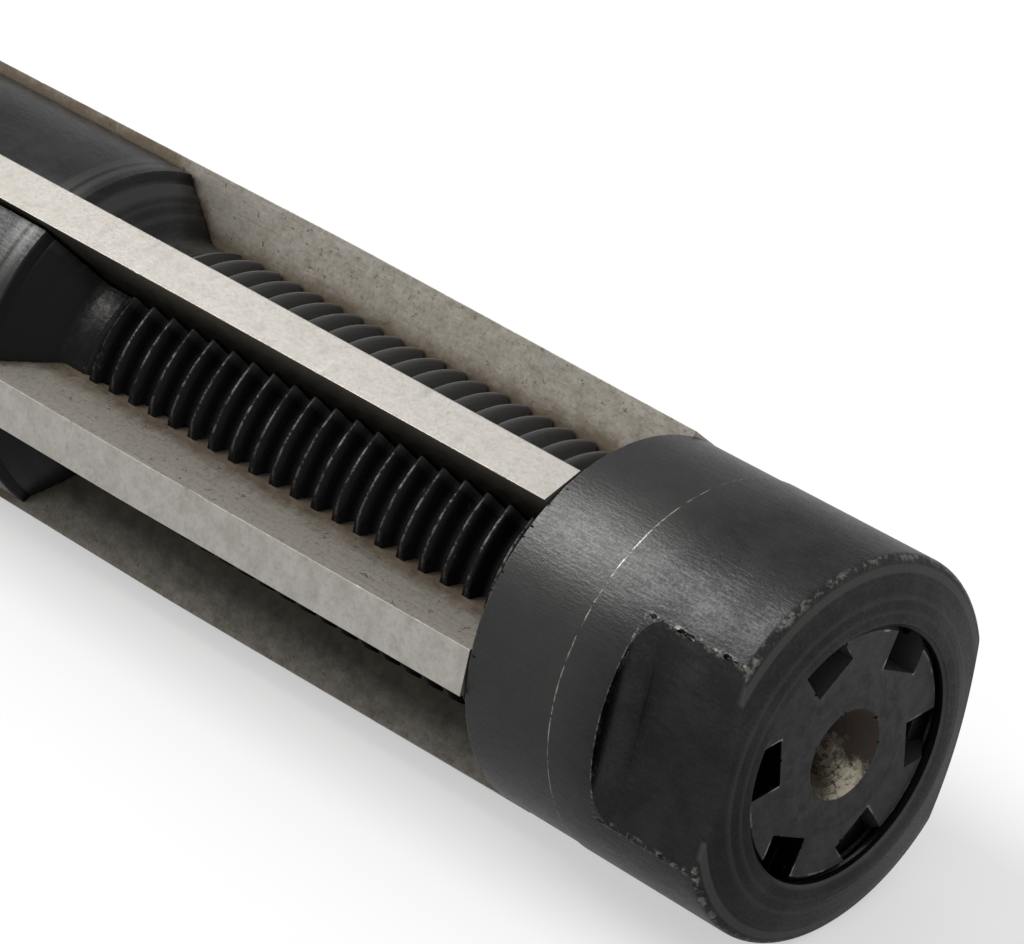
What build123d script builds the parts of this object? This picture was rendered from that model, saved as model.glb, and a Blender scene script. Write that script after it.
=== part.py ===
from build123d import *
import os
from math import radians, sqrt, tan

# Adjustable hand reamer for holes of 17 to 19 mm, lying on its two nuts.
# Six loose blades sit in slots whose floors rise towards the shank. Two nuts
# hold the blades by their ends and shift them along, which sets the diameter.
# Sizes are in millimetres. +X runs along the axis towards the cutting end,
# +Z is up, and the origin is the middle of the body's front end.

# Setting range
min_diameter = 17.0
max_diameter = 19.0
slot_slope = 0.04
nut_travel = (max_diameter - min_diameter) / 2 / slot_slope

# Thread on both ends of the body and in both nuts, M12 x 1.25. The body is
# modelled at the thread's root and the nuts at their tapping bore, so the
# ridges themselves are left out.
thread_major = 12.0
thread_pitch = 1.25
thread_spare = 1.0
outer_thread_depth = 0.6134 * thread_pitch
inner_thread_depth = 0.5413 * thread_pitch
body_root_radius = thread_major / 2 - outer_thread_depth
nut_bore_radius = thread_major / 2 - inner_thread_depth

# Blades
blade_count = 6
blade_length = 60.0
blade_thickness = 2.0
blade_relief = 0.22
blade_angle = 1.0
face_setback = 0.3
lead_length = 20.0
lead_drop = 0.15

# Slots in the body
slot_front_floor = 3.5
slot_clearance = 0.02
slot_setback = face_setback + blade_thickness / 2

# Nuts
nut_length = 12.6
nut_proud = 0.3
nut_diameter = 16.06
nut_collar_length = 4.56
nut_collar_step = 0.06
nut_face_drop = 0.54
nut_face_ring = 0.75
nut_lip = 0.4
nut_edge = 0.12
nut_dish_angle = 15.0
flat_width = 13.7
flat_length = 5.7
flat_corner_radius = 0.9
front_flat_angle = 162.6
rear_flat_angle = 205.0
seat_clearance = 0.02

# Plain middle of the body, eased at both ends, with a shoulder and a neck
# between it and each thread
plain_diameter = 16.0
ease_length = 3.0
ease_drop = 0.2
shoulder_length = 2.5
neck_diameter = 11.3
neck_length = 1.5

# Shank with its square for the wrench
shank_diameter = 10.0
shank_length = 59.0
square_width = 8.0
square_length = 11.0
end_chamfer = 0.6
front_chamfer = 0.25

# Centre holes in both ends
centre_mouth = 3.8
centre_pilot = 1.6
centre_depth = 4.2
centre_angle = 60.0

# Places along the axis
front_nut_face = nut_proud
front_rim = front_nut_face - nut_length
blade_front = front_rim - seat_clearance
blade_rear = blade_front - blade_length
rear_rim = blade_rear - seat_clearance
rear_nut_face = rear_rim - nut_length
front_thread_end = front_rim - nut_travel - thread_spare
rear_thread_start = rear_rim + thread_spare
rear_thread_end = rear_nut_face - nut_travel - thread_spare
body_rear = rear_thread_end - shank_length

# Seat of the blades in the nuts, and how far the blades rise
nut_rim_radius = nut_diameter / 2 - nut_collar_step
nut_mouth_radius = nut_rim_radius - nut_lip
blade_rise = nut_travel * slot_slope


def side_prism(points, width):
    """A plate as thick as width, standing on the XY plane's outline of points."""
    outline = make_face(Polyline(*points, close=True))
    return extrude(outline, amount=width / 2, both=True)


def turned(points):
    """A turned solid from an outline of (x, radius) points."""
    return revolve(make_face(Polyline(*points, close=True)), Axis.X, 360)


def around(shape, number):
    """The shape turned about the axis to the place of one blade."""
    return Rot(X=blade_angle + number * 360 / blade_count) * shape


def floor_radius(x):
    """Radius of the slot floors at the place x."""
    return slot_front_floor - slot_slope * x


def centre_hole():
    """Centre drill's hole in an end plane at x = 0, going towards -X."""
    mouth = centre_mouth / 2
    pilot = centre_pilot / 2
    cone = (mouth - pilot) / tan(radians(centre_angle / 2))
    tip = centre_depth + pilot / sqrt(3)
    return turned([(1, 0), (1, mouth), (0, mouth), (-cone, pilot), (-centre_depth, pilot), (-tip, 0)])


def blade_slot():
    """Slot with a rising floor, open at the body's front end."""
    start = 1.0
    end = rear_rim
    top = plain_diameter
    width = blade_thickness + 2 * slot_clearance
    points = [(start, floor_radius(start)), (end, floor_radius(end)), (end, top), (start, top)]
    return Pos(Z=-slot_setback) * side_prism(points, width)


def shank_square():
    """What is milled off the shank's end to leave the square."""
    size = 2 * shank_diameter
    length = square_length
    middle = body_rear + length / 2
    square = Box(length, square_width, square_width)
    return Pos(X=middle) * (Box(length, size, size) - square)


def shoulder(start, direction):
    """Outline from a thread's end up to the plain middle, for the blank."""
    plain = plain_diameter / 2
    neck_end = start + direction * neck_length
    edge = neck_end + direction * shoulder_length
    return [
        (start, body_root_radius),
        (start, neck_diameter / 2),
        (neck_end, neck_diameter / 2),
        (edge, plain - ease_drop),
        (edge + direction * ease_length, plain),
    ]


def reamer_body():
    """Shank, threads and plain middle in one piece, with six slots."""
    root = body_root_radius
    shank = shank_diameter / 2
    blank = turned([
        (0, 0),
        (0, root - front_chamfer),
        (-front_chamfer, root),
        *shoulder(front_thread_end, -1),
        *reversed(shoulder(rear_thread_start, 1)),
        (rear_thread_end + (root - shank), root),
        (rear_thread_end, shank),
        (body_rear + end_chamfer, shank),
        (body_rear, shank - end_chamfer),
        (body_rear, 0),
    ])
    for number in range(blade_count):
        blank -= around(blade_slot(), number)
    blank -= shank_square()
    blank -= centre_hole()
    blank -= Pos(X=body_rear) * Rot(Z=180) * centre_hole()
    return blank


def flat_cutter():
    """Cutter for one wrench flat, its inner corner rounded."""
    depth = nut_diameter
    corner = flat_corner_radius
    inner = flat_width / 2
    outline = make_face(Polyline(
        (1, inner), (-flat_length, inner), (-flat_length, inner + depth), (1, inner + depth), close=True))
    corners = outline.vertices().filter_by(lambda v: abs(v.X + flat_length) < 0.01 and abs(v.Y - inner) < 0.01)
    return extrude(fillet(corners, corner), amount=depth, both=True)


def nut(flat_angle):
    """Adjusting nut with its front face at x = 0 and its blade seat at the back."""
    outer = nut_diameter / 2
    back = -nut_length
    dish = (nut_mouth_radius - nut_bore_radius) * tan(radians(nut_dish_angle))
    collar = back + nut_collar_length
    blank = turned([
        (0, nut_bore_radius),
        (0, nut_bore_radius + nut_face_ring),
        (-nut_face_drop, outer - nut_edge),
        (-nut_face_drop - nut_edge, outer),
        (collar, outer),
        (collar, nut_rim_radius),
        (back + nut_edge, nut_rim_radius),
        (back, nut_rim_radius - nut_edge),
        (back, nut_mouth_radius),
        (back + dish, nut_bore_radius),
    ])
    for turn in (0, 180):
        blank -= Rot(X=flat_angle + turn) * flat_cutter()
    return blank


def front_nut():
    return Pos(X=front_nut_face) * nut(front_flat_angle)


def rear_nut():
    return Pos(X=rear_nut_face) * Rot(Z=180) * nut(-rear_flat_angle)


def blade_section(x, cutting_radius):
    """Cross-section of a blade: floor, back, relieved land and cutting face."""
    face = -face_setback
    back = face - blade_thickness
    floor = floor_radius(x) + slot_clearance
    edge = sqrt(cutting_radius ** 2 - face ** 2)
    heel = sqrt((cutting_radius - blade_relief) ** 2 - back ** 2)
    plane = Plane(origin=(x, 0, 0), x_dir=(0, 1, 0), z_dir=(1, 0, 0))
    return plane * make_face(Polyline((floor, face), (floor, back), (heel, back), (edge, face), close=True))


def blade_end_cutter():
    """What is cut off a blade's front end: square above, bevelled below.

    The bevel matches the nut's dish once the blade has risen all the way, so
    it is turned about an axis that lies below the blade by that rise.
    """
    far = blade_front + blade_length
    top = max_diameter
    mouth = nut_mouth_radius - seat_clearance
    nose = blade_front + mouth * tan(radians(nut_dish_angle))
    cutter = turned([(blade_front, top), (blade_front, mouth), (nose, 0), (far, 0), (far, top)])
    return Pos(Y=-blade_rise) * cutter


def blade():
    """One blade in the slot at angle zero, with the lead at its front end."""
    radius = min_diameter / 2
    spare = 5.0
    lead_end = blade_front - lead_length
    front_radius = radius - lead_drop * (lead_length + spare) / lead_length
    lead = loft([blade_section(lead_end, radius), blade_section(blade_front + spare, front_radius)], ruled=True)
    rest = loft([blade_section(blade_rear - spare, radius), blade_section(lead_end, radius)], ruled=True)
    middle = (blade_front + blade_rear) / 2
    rear_cutter = Pos(X=middle) * Rot(Y=180) * Pos(X=-middle) * blade_end_cutter()
    return lead + rest - blade_end_cutter() - rear_cutter


def write(name, shape):
    solid = shape.solids()[0]
    solid.label = name
    export_step(solid, f"parts/{name}.step")
    print(name, round(solid.volume, 1))


os.makedirs("parts", exist_ok=True)
write("reamer_body", reamer_body())
write("front_nut", front_nut())
write("rear_nut", rear_nut())
for number in range(blade_count):
    write(f"blade_{number + 1}", around(blade(), number))
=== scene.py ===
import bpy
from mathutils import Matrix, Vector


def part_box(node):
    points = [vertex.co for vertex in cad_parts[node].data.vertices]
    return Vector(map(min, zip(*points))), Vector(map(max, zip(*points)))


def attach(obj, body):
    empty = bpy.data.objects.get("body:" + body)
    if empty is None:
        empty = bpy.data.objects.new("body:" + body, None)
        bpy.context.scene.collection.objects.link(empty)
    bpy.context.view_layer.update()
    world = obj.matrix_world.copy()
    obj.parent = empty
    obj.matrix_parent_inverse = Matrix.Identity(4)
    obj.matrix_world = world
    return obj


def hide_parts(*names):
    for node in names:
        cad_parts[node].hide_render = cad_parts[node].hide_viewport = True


bl_info = {
    "name": "Adjustable hand reamer",
    "version": (1, 0, 0),
    "blender": (4, 5, 0),
    "location": "3D View > Sidebar > Reamer",
    "description": "Dresses the packed adjustable hand reamer and sets up its studio",
    "category": "Add Mesh",
}

from functools import partial
from math import atan2, cos, pi, radians, sin, sqrt, tan

import bmesh
import bpy
from mathutils import Matrix, Vector

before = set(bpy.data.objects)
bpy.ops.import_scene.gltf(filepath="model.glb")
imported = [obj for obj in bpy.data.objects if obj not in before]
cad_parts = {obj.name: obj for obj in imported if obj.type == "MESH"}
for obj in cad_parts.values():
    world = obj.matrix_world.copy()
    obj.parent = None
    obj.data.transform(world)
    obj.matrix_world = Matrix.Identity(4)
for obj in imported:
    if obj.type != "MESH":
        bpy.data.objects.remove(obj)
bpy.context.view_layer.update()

# Lengths are written in millimetres and turned to metres by MM. +X runs
# towards the cutting end, +Z is up, and angles go from +Y towards +Z.
MM = 0.001

# Kinds of node that are used often, some with the setting they are used with
MATH = "ShaderNodeMath"
VECTOR_MATH = "ShaderNodeVectorMath"
NOISE = "ShaderNodeTexNoise"
RINGS = (NOISE, {"noise_dimensions": "1D"})
RANGE = "ShaderNodeMapRange"
MAPPING = "ShaderNodeMapping"
COMBINE = "ShaderNodeCombineXYZ"
MOVE = "GeometryNodeSetPosition"
TINT = ("ShaderNodeMix", {"data_type": "RGBA"})
BLEND = ("ShaderNodeMix", {"data_type": "FLOAT"})
RANDOM = ("FunctionNodeRandomValue", {"data_type": "FLOAT_VECTOR"})
DOT = (VECTOR_MATH, {"operation": "DOT_PRODUCT"})
SCALED = (VECTOR_MATH, {"operation": "SCALE"})
PLUS, MINUS, TIMES, OVER, TIMES_PLUS, LARGER, SMALLER, UNSIGNED, WRAPPED = (
    (MATH, {"operation": operation}) for operation in (
        "ADD", "SUBTRACT", "MULTIPLY", "DIVIDE", "MULTIPLY_ADD", "MAXIMUM", "MINIMUM", "ABSOLUTE",
        "FLOORED_MODULO"))

# Places along the axis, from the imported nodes
FRONT_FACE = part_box("front_nut")[1].x / MM
FRONT_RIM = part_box("front_nut")[0].x / MM
REAR_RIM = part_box("rear_nut")[1].x / MM
REAR_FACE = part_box("rear_nut")[0].x / MM
BODY_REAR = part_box("reamer_body")[0].x / MM
FLOOR_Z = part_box("front_nut")[0].z / MM

# Places and sizes that the solids are built on and the boxes don't tell
FRONT_THREAD_END = -38.3
NECK_LENGTH = 1.5
NECK_RADIUS = 5.65
REAR_THREAD_START = -71.34
REAR_THREAD_END = -110.94
PLAIN_RADIUS = 8.0
SHANK_RADIUS = 5.0
SQUARE_HALF = 4.0
SQUARE_LENGTH = 11.0
END_CHAMFER = 0.6
HOLE_MOUTH = 1.9
HOLE_PILOT = 0.8
HOLE_DEPTH = 4.2
FIRST_BLADE_ANGLE = 1.0
BLADE_COUNT = 6
SLOT_FLOOR = 3.5
SLOT_SLOPE = 0.04
SLOT_SETBACK = 1.3
SLOT_WIDTH = 2.04
FLAT_ANGLES = {"front_nut": 162.6, "rear_nut": 205.0}
NUT_LENGTH = FRONT_FACE - FRONT_RIM
COLLAR_PLACE = NUT_LENGTH - 4.56
BORE_RADIUS = 5.323
FACE_RING = 0.75
DISH_DEPTH = 0.602

# The helix goes through a crest that the photo shows at 158.3 degrees
CREST_PLACE = -13.82 - 1.25 * 158.3 / 360

# The shoulder behind the front thread, with the small steps that the tool
# left: how far behind the thread's end, and the radius there
SHOULDER = (
    (1.15, 5.65), (1.4, 5.72), (1.6, 5.88), (1.82, 6.14), (1.9, 6.17), (2.25, 6.53), (2.36, 6.55),
    (2.7, 6.89), (2.8, 6.92), (3.08, 7.22), (3.18, 7.24), (3.44, 7.5), (3.54, 7.52), (3.76, 7.86),
    (3.84, 7.96), (5.3, 7.99), (6.5, PLAIN_RADIUS))

# Cutters run past the ends they cut by SPARE, and out to FAR from the axis.
# Where nicks are cut, faces are about CELL long, so that none takes up many.
SPARE = 1.0
FAR = 16.0
CELL = 0.4

# The camera that was fitted to the photo
CAMERA_PLACE = (93.908, -109.506, 98.667)
CAMERA_RIGHT = (0.69311, 0.7207, 0.01389)
CAMERA_UP = (-0.38018, 0.34911, 0.8565)
CAMERA_LENS = 163.44


def linear(hex_code):
    """A linear colour from an sRGB hex value such as "8a857b"."""
    levels = [int(hex_code[i:i + 2], 16) / 255 for i in (0, 2, 4)]
    return tuple(v / 12.92 if v <= 0.04045 else ((v + 0.055) / 1.055) ** 2.4 for v in levels)


def length(name, description, millimetres):
    """A length property, kept in metres."""
    return bpy.props.FloatProperty(
        name=name, description=description, default=millimetres * MM, unit="LENGTH", precision=5)


def colour(name, description, hex_code):
    """A colour property, with its default as an sRGB hex value."""
    return bpy.props.FloatVectorProperty(
        name=name, description=description, default=(*linear(hex_code), 1.0), size=4, min=0.0, max=1.0,
        subtype="COLOR")


class ThreadSizes(bpy.types.PropertyGroup):
    pitch: length("Pitch", "Rise of the thread in one turn", 1.25)
    root: length("Root radius", "Radius at the bottom of the body's thread", 5.233)
    crest: length("Crest radius", "Radius at the top of the body's thread", 5.97)
    nut_root: length("Nut root radius", "Radius at the bottom of the thread in the nuts", 6.04)
    segments: bpy.props.IntProperty(
        name="Segments", description="Steps in one turn of the thread", default=96, min=24, max=240)


class BladeSizes(bpy.types.PropertyGroup):
    thickness: length("Thickness", "Thickness of a blade", 1.9)
    setback: length("Setback", "Distance of the cutting face from the axis plane", 0.4)
    radius: length("Cutting radius", "Radius of the cutting edges at the smallest setting", 8.5)
    relief: length("Relief", "How much lower the land's heel lies than its edge", 0.22)
    lead: length("Lead", "Length of the tapered lead at the front", 20.0)
    lead_drop: length("Lead drop", "How far the edge drops along the lead", 0.28)
    clearance: length("Clearance", "Gap between a blade and its slot", 0.02)
    mouth: length("Mouth radius", "Radius inside which the blade ends are bevelled", 7.45)
    rise: length("Rise", "How far the blades rise from the smallest setting to the largest", 1.0)
    hone: length("Hone", "Width of the small flat honed along the cutting edge", 0.02)
    heel: length("Heel break", "Width of the rough break along the land's heel", 0.035)
    nick: length("Nick depth", "Depth of the deepest nicks in the ground edges", 0.06)
    edge: length("Edge", "Width of the broken edges", 0.008)


class NutSizes(bpy.types.PropertyGroup):
    radius: length("Radius", "Outer radius of a nut", 8.03)
    collar_step: length("Collar step", "Height of the step at the collar", 0.05)
    flat_half: length("Half across flats", "Distance of a wrench flat from the axis", 6.85)
    flat_length: length("Flat length", "Length of a wrench flat along the axis", 5.7)
    flat_corner: length("Flat corner", "Radius at the inner end of a wrench flat", 0.9)
    seed: bpy.props.IntProperty(name="Seed", description="Which nicks the nuts' edges get", default=3, min=0)


class Finishes(bpy.types.PropertyGroup):
    oxide_dark: colour("Dark oxide", "Deep parts of the black oxide", "282828")
    oxide_light: colour("Light oxide", "Thin parts of the black oxide", "353535")
    # Painted shade: this dark oxide darkens the side round 181 degrees and the shoulder cones
    painted_shade_oxide: colour("Oily oxide", "Black oxide down in the threads", "1a1a1b")
    # This tone is used for the tool rings, and as a painted highlight on the nuts' collars
    ring_and_highlight_oxide: colour("Tool marks", "Rings that the tool left round the shoulders", "474746")
    # This tone is the front face's oxide, and painted light on the threads away from the shaded side
    face_oxide_and_painted_light: colour("Front face", "Thinner oxide on the body's front face", "3d3d3d")
    oxide_sheen: colour("Oxide sheen", "What the black oxide shows where the eye only grazes it", "dcdcdc")
    scale: colour("Scale", "Flaky patches in the necks", "45433f")
    bared: colour("Bared steel", "Steel where the oxide has rubbed off", "a8a49b")
    land_light: colour("Land", "Ground land of a blade", "a09c97")
    land_dark: colour("Land clouds", "Duller clouds on the ground land", "928e88")
    side_light: colour("Blade side", "Sides of a blade", "a5a199")
    side_dark: colour("Blade side clouds", "Duller clouds on a blade's sides", "847f75")
    pit: colour("Pits", "Dark pits and scratches in the blades' sides", "4a463e")
    stain: colour("Stain", "Oil stain on the blades near the threads", "66594a")
    # Painted shade for the blades' undersides and the lower blades
    underside_shade_tone: colour("Grime", "Old oil on the undersides and the lower blades", "26241f")
    rust: colour("Rust", "Rust in the threads", "4f3828")
    # Rust and painted shade on the upper side of the centre holes
    hole_rust_and_shade: colour("Hole rust", "Dark rust in the centre holes", "33261e")
    hole_steel: colour("Centre hole", "Bare steel of the centre holes", "928c7c")
    floor: colour("Floor", "Paint of the studio floor", "f4f4f4")


def new_tree(name, **inputs):
    """A node tree with inputs named by kind, what adds a node to it, and what its inputs give."""
    tree = bpy.data.node_groups.new(name, "GeometryNodeTree")
    tree.interface.new_socket("Geometry", in_out="OUTPUT", socket_type="NodeSocketGeometry")
    for kind, labels in inputs.items():
        for label in labels:
            tree.interface.new_socket(label, in_out="INPUT", socket_type="NodeSocket" + kind)
    return tree, partial(add_node, tree), tree.nodes.new("NodeGroupInput").outputs


def add_node(tree, kind, *values, named=None, **settings):
    """Adds a node with its settings, and fills its inputs with values or links.

    A kind may bring a setting of its own. Values go to the inputs that the
    settings leave in use, in their order, and a node given as a value stands
    for its first output in use.
    """
    if isinstance(kind, tuple):
        kind, own = kind
        settings = {**own, **settings}
    node = tree.nodes.new(kind)
    for key, value in settings.items():
        setattr(node, key, value)
    used = [socket for socket in node.inputs if socket.enabled]
    filled = list(zip(used, values)) + [(node.inputs[k], v) for k, v in (named or {}).items()]
    for socket, value in filled:
        if isinstance(value, bpy.types.Node):
            value = next(output for output in value.outputs if output.enabled)
        if isinstance(value, bpy.types.NodeSocket):
            tree.links.new(value, socket)
        elif value is not None:
            socket.default_value = value
    return node


def close_tree(add, geometry, material):
    """Ends a tree in real geometry with its material."""
    real = add("GeometryNodeRealizeInstances", geometry)
    painted = add("GeometryNodeSetMaterial", real, None, material)
    add("NodeGroupOutput", painted)


def thread_tree():
    """A solid rod with one helical ridge, eased to a plain circle at both ends.

    Rows of a grid follow the helix, twelve to a pitch, so the crest is a clean
    line. Rows past an end pile up on it, and the outermost two close it.
    """
    tree, add, given = new_tree("helical_thread", Float=(
        "Start", "End", "Pitch", "Core Radius", "Crest Radius", "Crest Place", "Start Radius", "End Radius",
        "Start Slope", "End Slope"), Int=("Segments",), Material=("Material",))
    start, end, pitch = given["Start"], given["End"], given["Pitch"]
    rows_per_pitch = 12.0

    # The grid starts in a valley at least a pitch below the end
    below = add(TIMES_PLUS, pitch, -2.0, end)
    valley = add(MINUS, given["Crest Place"], add(TIMES, pitch, 0.5))
    over = add(WRAPPED, add(MINUS, below, valley), pitch)
    base = add(MINUS, below, over)
    pitches = add(OVER, add(MINUS, start, base), pitch)
    turns = add(PLUS, add(MATH, pitches, operation="CEIL"), 2.0)
    rows = add(TIMES, turns, rows_per_pitch)
    columns = add(PLUS, given["Segments"], 1.0)
    grid = add("GeometryNodeMeshGrid", 1.0, 1.0, columns, rows)

    # Row and column of each point, and its place along the helix
    index = add("GeometryNodeInputIndex")
    column = add(MATH, add(OVER, index, rows), operation="FLOOR")
    row = add(MINUS, index, add(TIMES, column, rows))
    turn = add(OVER, column, given["Segments"])
    level = add(OVER, add(PLUS, row, 0.5), rows_per_pitch)
    helix = add(TIMES_PLUS, add(PLUS, level, turn), pitch, base)
    x = add("ShaderNodeClamp", helix, end, start)

    # The ridge's section, and how far from each end's circle it may be
    fold = add(MATH, level, 0.5, operation="PINGPONG")
    radius = add(RANGE, fold, 0.06, 0.46, given["Core Radius"], given["Crest Radius"],
                 interpolation_type="SMOOTHSTEP")
    lows, highs = [], []
    for name, gone in (("Start", add(MINUS, start, x)), ("End", add(MINUS, x, end))):
        slack = add(TIMES, gone, given[name + " Slope"])
        lows.append(add(MINUS, given[name + " Radius"], slack))
        highs.append(add(PLUS, given[name + " Radius"], slack))
    radius = add(LARGER, radius, add(LARGER, *lows))
    radius = add(SMALLER, radius, add(SMALLER, *highs))

    # The outermost rows lie on the axis
    after_first = add(MATH, row, 0.5, operation="GREATER_THAN")
    before_last = add(MATH, row, add(MINUS, rows, 1.5), operation="LESS_THAN")
    reach = add(TIMES, radius, add(TIMES, after_first, before_last))
    angle = add(TIMES, turn, 2 * pi)
    y, z = (add(TIMES, reach, add(MATH, angle, operation=way)) for way in ("COSINE", "SINE"))
    bent = add(MOVE, grid, None, add(COMBINE, x, y, z))
    closed = add("GeometryNodeMergeByDistance", bent, None, 0.002 * MM)
    close_tree(add, closed, given["Material"])
    return tree


def around_tree():
    """Copies of the object's own mesh, evenly spaced round the axis."""
    tree, add, given = new_tree("round_the_axis", Geometry=("Geometry",), Int=("Count",),
                                Float=("First Angle",), Material=("Material",))
    line = add("GeometryNodeMeshLine", given["Count"], named={"Offset": (0.0, 0.0, 0.0)})
    step = add(OVER, 2 * pi, given["Count"])
    angle = add(TIMES_PLUS, add("GeometryNodeInputIndex"), step, given["First Angle"])
    turn = add("FunctionNodeEulerToRotation", add(COMBINE, angle))
    copies = add("GeometryNodeInstanceOnPoints", line,
                 named={"Instance": given["Geometry"], "Rotation": turn})
    close_tree(add, copies, given["Material"])
    return tree


def nicks_tree():
    """Small uneven lumps, strewn along the lines of the object's own mesh.

    Cut from an edge, they leave it nicked, as on a tool that has been in use.
    """
    tree, add, given = new_tree(
        "nicks_along_edges", Geometry=("Geometry",), Float=("Spacing", "Smallest", "Largest"), Int=("Seed",),
        Material=("Material",))
    line = add("GeometryNodeMeshToCurve", given["Geometry"])
    points = add("GeometryNodeCurveToPoints", line, given["Spacing"], mode="LENGTH")
    seeds = [add(PLUS, given["Seed"], 10.0 * i) for i in range(4)]
    spread = add(RANDOM, (-0.5, -0.5, -0.5), (0.5, 0.5, 0.5), named={"Seed": seeds[0]})
    shift = add(SCALED, spread, given["Spacing"])
    along = add(VECTOR_MATH, shift, (1.0, 0.1, 0.1), operation="MULTIPLY")
    moved = add(MOVE, points, named={"Offset": along})
    chance = add("FunctionNodeRandomValue", 0.0, 1.0, data_type="FLOAT", named={"Seed": seeds[1]})
    rare = add(MATH, chance, 4.0, operation="POWER")
    size = add(RANGE, rare, 0.0, 1.0, given["Smallest"], given["Largest"])
    stretch = add(RANDOM, (0.8, 0.4, 0.4), (2.0, 0.9, 0.9), named={"Seed": seeds[2]})
    turn = add(RANDOM, (0.0, -0.3, -0.3), (2 * pi, 0.3, 0.3), named={"Seed": seeds[3]})
    lumps = add("GeometryNodeInstanceOnPoints", moved, named={
        "Instance": add("GeometryNodeMeshIcoSphere", 1.0, 2),
        "Rotation": add("FunctionNodeEulerToRotation", turn),
        "Scale": add(SCALED, stretch, size)})
    close_tree(add, lumps, given["Material"])
    return tree


def blade_tree():
    """One blade, as a block whose points are laid along its slot.

    Across the block, 0 is the cutting face and 1 the back, and upwards 0 is
    the slot's floor and 1 the land. The outer quarters of its width are drawn
    in to the hone at the cutting edge and the break at the heel. Both ends are
    square outside the nuts' mouth radius, and bevelled inside it to fit the dish.
    """
    tree, add, given = new_tree("reamer_blade", Float=(
        "Front", "Rear", "Floor", "Floor Slope", "Thickness", "Setback", "Cutting Radius", "Relief", "Lead",
        "Lead Drop", "Mouth", "Rise", "Bevel", "Angle", "Hone", "Heel Break", "Nick", "Seed"),
        Material=("Material",))
    block = add("GeometryNodeMeshCube", (1.0, 1.0, 1.0), 481, 5, 10)
    corner = add(VECTOR_MATH, add("GeometryNodeInputPosition"), (0.5, 0.5, 0.5), operation="ADD")
    along, across, up = add("ShaderNodeSeparateXYZ", corner).outputs
    x = add(RANGE, along, 0.0, 1.0, given["Rear"], given["Front"])

    # Depth behind the cutting face
    broken = add(PLUS, given["Hone"], given["Heel Break"])
    whole = add(MINUS, given["Thickness"], broken)
    in_hone = add(RANGE, across, 0.0, 0.25, 0.0, given["Hone"])
    in_land = add(RANGE, across, 0.25, 0.75, 0.0, whole)
    in_heel = add(RANGE, across, 0.75, 1.0, 0.0, given["Heel Break"])
    depth = add(PLUS, add(PLUS, in_hone, in_land), in_heel)
    sideways = add(MINUS, add(TIMES, depth, -1.0), given["Setback"])

    # Height of the land, from the radii of its edge and its heel
    lead_end = add(MINUS, given["Front"], given["Lead"])
    drop = add(RANGE, x, lead_end, given["Front"], 0.0, given["Lead Drop"])
    back = add(PLUS, given["Setback"], given["Thickness"])
    heights = []
    for offset, relief in ((given["Setback"], 0.0), (back, given["Relief"])):
        reach = add(MINUS, add(MINUS, given["Cutting Radius"], relief), drop)
        difference = add(MINUS, add(TIMES, reach, reach), add(TIMES, offset, offset))
        heights.append(add(MATH, difference, operation="SQRT"))
    land = add(RANGE, depth, 0.0, given["Thickness"], *heights)
    land = add(MINUS, land, add(MINUS, given["Hone"], in_hone))
    land = add(TIMES_PLUS, in_heel, -0.6, land)
    floor = add(MINUS, given["Floor"], add(TIMES, x, given["Floor Slope"]))
    height = add(RANGE, up, 0.0, 1.0, floor, land)

    # Nicks about a millimetre long where the land meets the face and the back
    off_middle = add(UNSIGNED, add(MINUS, across, 0.5))
    at_side = add(MATH, off_middle, 0.24, operation="GREATER_THAN")
    at_land = add(MATH, up, 0.99, operation="GREATER_THAN")
    spot = add(COMBINE, x, add(TIMES, across, 0.05), 0.0)
    noise = add(NOISE, noise_dimensions="4D",
                named={"Vector": spot, "W": given["Seed"], "Scale": 900.0, "Detail": 2.0})
    bite = add(RANGE, noise, 0.62, 0.78, 0.0, given["Nick"])
    height = add(MINUS, height, add(TIMES, bite, add(TIMES, at_side, at_land)))

    # The bevels fit the dish once the blade has risen all the way
    lifted = add(MATH, add(PLUS, height, given["Rise"]), 2.0, operation="POWER")
    distance = add(MATH, add(PLUS, lifted, add(TIMES, sideways, sideways)), operation="SQRT")
    inner = add(LARGER, add(MINUS, given["Mouth"], distance), 0.0)
    nose = add(TIMES, inner, add(MATH, given["Bevel"], operation="TANGENT"))
    side = add(RANGE, along, 0.0, 1.0, -1.0, 1.0)
    x = add(TIMES_PLUS, nose, side, x)
    place = add("ShaderNodeVectorRotate", add(COMBINE, x, height, sideways), rotation_type="X_AXIS",
                named={"Angle": given["Angle"]})
    close_tree(add, add(MOVE, block, None, place), given["Material"])
    return tree


def shared_tree(name, make):
    """The node tree of that name, made when it is first asked for."""
    return bpy.data.node_groups.get(name) or make()


def mesh_object(name, mesh):
    made = bpy.data.objects.new(name, mesh)
    bpy.context.scene.collection.objects.link(made)
    return made


def run_tree(name, tree, values, source=None):
    """An object whose plain mesh is what the tree makes from the named values."""
    holder = mesh_object(name, source or bpy.data.meshes.new(name))
    modifier = holder.modifiers.new("Nodes", "NODES")
    modifier.node_group = tree
    for socket in tree.interface.items_tree:
        if socket.in_out == "INPUT" and socket.name in values:
            modifier[socket.identifier] = values[socket.name]
    flatten(holder)
    holder.data.materials.clear()
    holder.data.materials.append(values["Material"])
    holder.data.polygons.foreach_set("material_index", [0] * len(holder.data.polygons))
    return holder


def flatten(holder):
    """Turns what an object's modifiers make into its plain mesh."""
    bpy.context.view_layer.update()
    seen = holder.evaluated_get(bpy.context.evaluated_depsgraph_get())
    mesh = bpy.data.meshes.new_from_object(seen)
    holder.modifiers.clear()
    holder.data = mesh
    mesh.name = holder.name


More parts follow.
